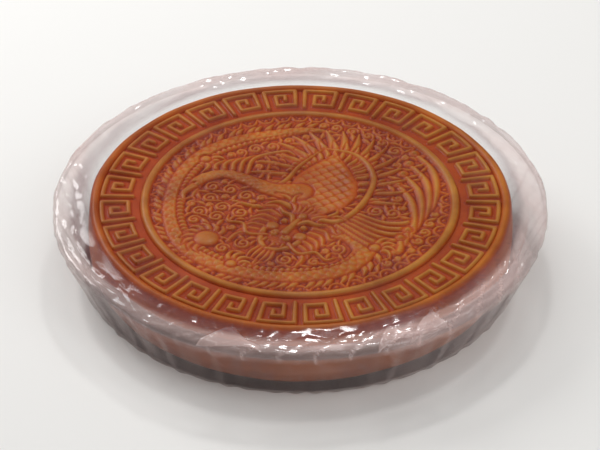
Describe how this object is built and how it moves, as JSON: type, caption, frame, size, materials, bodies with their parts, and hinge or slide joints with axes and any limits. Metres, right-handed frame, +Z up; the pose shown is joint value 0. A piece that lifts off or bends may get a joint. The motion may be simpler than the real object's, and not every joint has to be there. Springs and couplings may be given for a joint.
{
  "type": "mooncake",
  "caption": "Large round baked mooncake pressed with a key-pattern band, a dragon and a phoenix, in a clear flanged tray under clear film.",
  "frame": {"origin": "middle of the tray's flat underside", "axes": "+Z up through the middle of the cake; -Y is the side that the picture is looked at from, with +X to the right"},
  "size_m": [0.2318, 0.2318, 0.0339],
  "materials": {
    "baked_crust": "satin",
    "clear_tray": "gloss",
    "clear_film": "gloss"
  },
  "bodies": {
    "root": {"mooncake": "baked_crust", "tray": "clear_tray", "film": "clear_film"}
  },
  "joints": []
}
